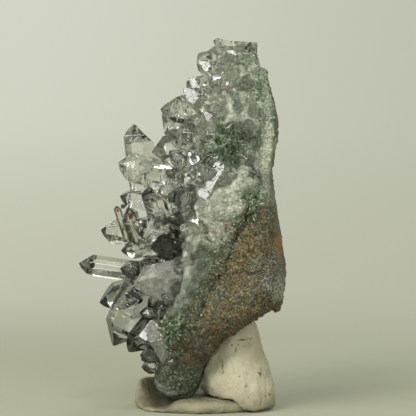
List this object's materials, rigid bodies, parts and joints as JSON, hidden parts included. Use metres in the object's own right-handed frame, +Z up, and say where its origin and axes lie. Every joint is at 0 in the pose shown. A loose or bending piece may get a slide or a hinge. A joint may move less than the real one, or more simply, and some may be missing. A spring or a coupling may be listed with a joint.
{
  "type": "harlequin quartz with epidote",
  "caption": "Upright cluster of clear quartz crystals with green epidote on a rusty rock slab, standing in cream mounting putty.",
  "frame": {"origin": "on the floor under the middle of the whole, at the putty's underside", "axes": "+Z up; +X from the crystals towards the back of the slab; +Y away from the broken near side"},
  "size_m": [0.0411, 0.0383, 0.074],
  "materials": {
    "rusty_rock": "rough broken rock with rust",
    "clear_quartz": "glassy, flat natural faces",
    "light_epidote": "fine granular",
    "dark_epidote": "granular, slightly glassy",
    "mounting_putty": "matt, pressed by hand"
  },
  "bodies": {
    "root": {"matrix_rock": "rusty_rock", "quartz_crystals": "clear_quartz", "epidote_crust": "light_epidote", "epidote_upper_nest": "dark_epidote", "epidote_middle_nest": "dark_epidote", "epidote_lower_nest": "dark_epidote", "putty_pad": "mounting_putty", "putty_wedge": "mounting_putty"}
  },
  "joints": []
}
